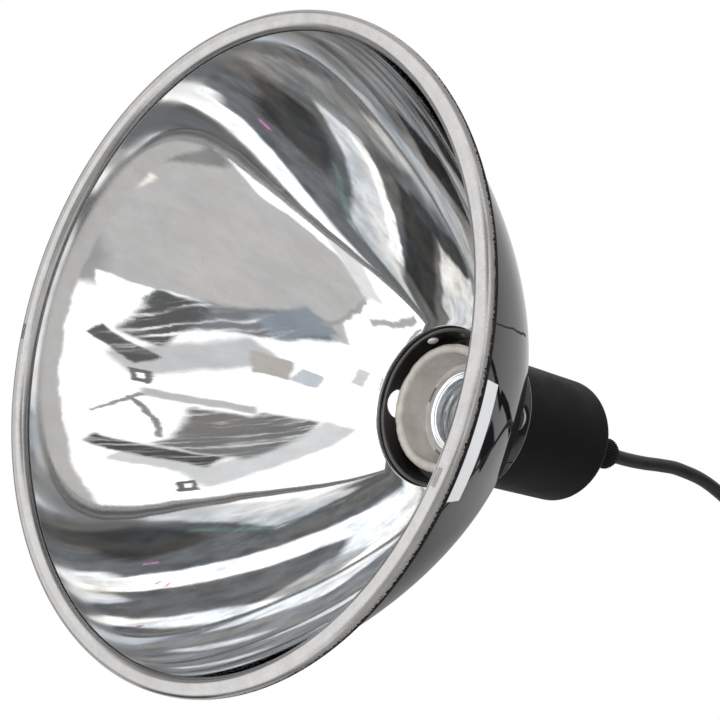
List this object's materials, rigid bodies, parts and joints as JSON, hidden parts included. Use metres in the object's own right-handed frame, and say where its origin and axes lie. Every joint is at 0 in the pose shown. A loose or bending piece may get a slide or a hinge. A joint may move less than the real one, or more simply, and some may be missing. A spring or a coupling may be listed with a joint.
{
  "type": "dome lamp",
  "caption": "Deep dome work lamp: polished reflector, black cap over a porcelain screw socket, ribbed gland, coiled mains cord with line switch and plug.",
  "frame": {"origin": "centre of the circle on which the rolled rim stands, at floor height, without the cord", "axes": "+Z along the lamp's axis from the mouth of the bowl to the cord, +X towards the side where the cord comes down"},
  "size_m": [0.3732, 0.216, 0.3247],
  "materials": {
    "polished_aluminium": "mirror-polished sheet, satin on the rolled rim",
    "black_enamel": "gloss black enamel, the outer face of the reflector",
    "black_plastic": "matte black moulding",
    "gloss_black_plastic": "smooth gloss black moulding",
    "porcelain": "opaque porcelain with a thin matte glaze",
    "gasket_rubber": "matte grey",
    "nickel_plate": "bright nickel plate",
    "zinc_steel": "bright zinc-plated steel",
    "brass": "bare brass",
    "cord_jacket": "smooth black flexible jacket, semi-gloss",
    "grommet_rubber": "matte black",
    "black_lead": "core insulation",
    "white_lead": "core insulation"
  },
  "bodies": {
    "lamp": {"reflector": "polished_aluminium", "cap": "black_plastic", "neck_rivets": "polished_aluminium", "socket_body": "porcelain", "socket_gasket": "gasket_rubber", "screw_shell": "nickel_plate", "centre_post": "brass", "live_terminal": "brass", "neutral_terminal": "nickel_plate", "terminal_screws": "brass", "bracket": "zinc_steel", "bracket_screws": "zinc_steel", "stem": "zinc_steel", "stem_nuts": "zinc_steel", "gland_foot": "black_plastic", "gland_nut": "black_plastic", "cord_grommet": "grommet_rubber", "cord_entry": "cord_jacket", "live_lead": "black_lead", "neutral_lead": "white_lead", "cord_free": "cord_jacket", "cord_to_coil": "cord_jacket", "cord_coil": "cord_jacket", "cord_to_plug": "cord_jacket", "cord_tie": "grommet_rubber", "switch_base": "black_plastic", "switch_cover": "black_plastic", "switch_contacts": "brass", "switch_wires": "black_lead", "switch_screws": "zinc_steel", "plug_body": "black_plastic", "plug_blades": "brass"},
    "centre_contact": {"contact_tongue": "brass"},
    "rocker": {"switch_rocker": "gloss_black_plastic"},
    "lever": {"switch_lever": "brass"}
  },
  "joints": [
    {"name": "contact_flex", "type": "hinge", "parent": "lamp", "child": "centre_contact", "pos_m": [-0.0037, 0, 0.14385], "axis": [0, -1, 0], "range_deg": [0, 8], "stiffness_Nm_per_rad": 0.05},
    {"name": "rocker_tilt", "type": "hinge", "parent": "lamp", "child": "rocker", "pos_m": [0.155, 0.0094, 0.0145], "axis": [-0.9397, 0.342, 0], "range_deg": [0, 18]},
    {"name": "lever_tilt", "type": "hinge", "parent": "lamp", "child": "lever", "pos_m": [0.155, 0.0094, 0.0076], "axis": [-0.9397, 0.342, 0], "range_deg": [-9, 0]}
  ],
  "couplings": [
    {"joint": "lever_tilt", "follows": "rocker_tilt", "ratio": -0.5}
  ]
}
